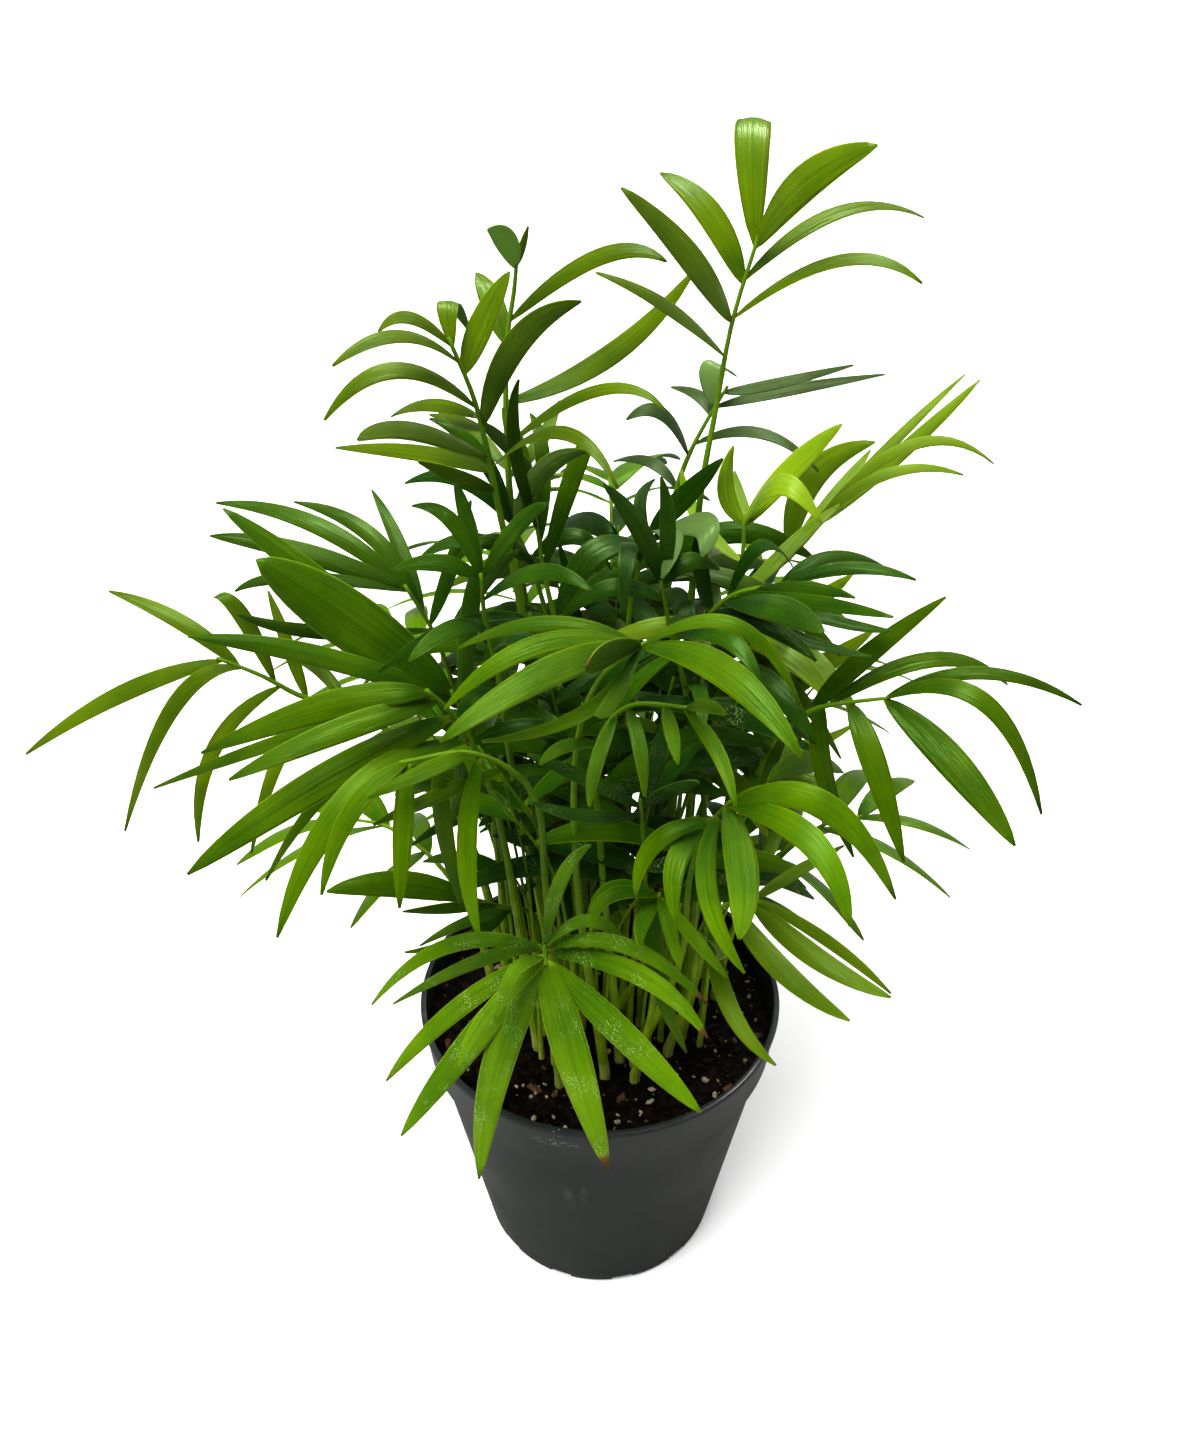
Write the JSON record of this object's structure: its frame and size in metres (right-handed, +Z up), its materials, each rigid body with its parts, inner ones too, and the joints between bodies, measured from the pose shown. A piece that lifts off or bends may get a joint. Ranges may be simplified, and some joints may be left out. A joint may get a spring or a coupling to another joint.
{
  "type": "potted parlour palm",
  "caption": "Clump of young parlour palm fronds with long narrow leaflets, standing in dark peat in a tapered black plastic nursery pot with a plain collar.",
  "frame": {"origin": "middle of the pot's flat underside, where it rests", "axes": "+Z up along the pot's axis, -Y towards the front of the plant, +X to its right"},
  "size_m": [0.3402, 0.3155, 0.4573],
  "materials": {
    "pot_plastic": "satin moulded black plastic with light scuffs",
    "peat": "loose dark peat with perlite and bark",
    "leaf_mid": "glossy living leaf with lengthwise veins",
    "leaf_dark": "glossy dark living leaf with lengthwise veins",
    "leaf_blue": "dull bluish older leaf",
    "leaf_lime": "young yellow-green leaf, slightly translucent"
  },
  "bodies": {
    "root": {"pot": "pot_plastic", "soil": "peat", "frond_top_right": "leaf_mid", "frond_top_right_back": "leaf_blue", "frond_upper_left": "leaf_mid", "frond_spear_left": "leaf_mid", "frond_young_centre": "leaf_mid", "frond_left_arm": "leaf_mid", "frond_left_upper": "leaf_dark", "frond_left_broad": "leaf_dark", "frond_left_low": "leaf_mid", "frond_left_hanging": "leaf_mid", "frond_left_bottom": "leaf_mid", "frond_front_bright": "leaf_mid", "frond_front_inner": "leaf_mid", "frond_centre_back": "leaf_dark", "frond_yellow_green": "leaf_lime", "frond_right_back_light": "leaf_lime", "frond_right_dark": "leaf_dark", "frond_right_arm": "leaf_mid", "frond_right_hanging": "leaf_mid", "frond_speckled_small": "leaf_dark", "frond_right_back_low": "leaf_lime", "frond_right_low": "leaf_mid", "frond_bottom_front": "leaf_mid", "frond_right_front_small": "leaf_mid", "frond_inner_left": "leaf_dark", "frond_inner_right": "leaf_dark", "frond_inner_back": "leaf_dark", "frond_back_1": "leaf_mid", "frond_back_2": "leaf_mid", "frond_back_3": "leaf_mid", "frond_back_4": "leaf_mid", "frond_back_5": "leaf_mid", "frond_back_6": "leaf_mid", "frond_back_7": "leaf_mid", "frond_side_right": "leaf_mid", "frond_side_left": "leaf_mid"}
  },
  "joints": []
}
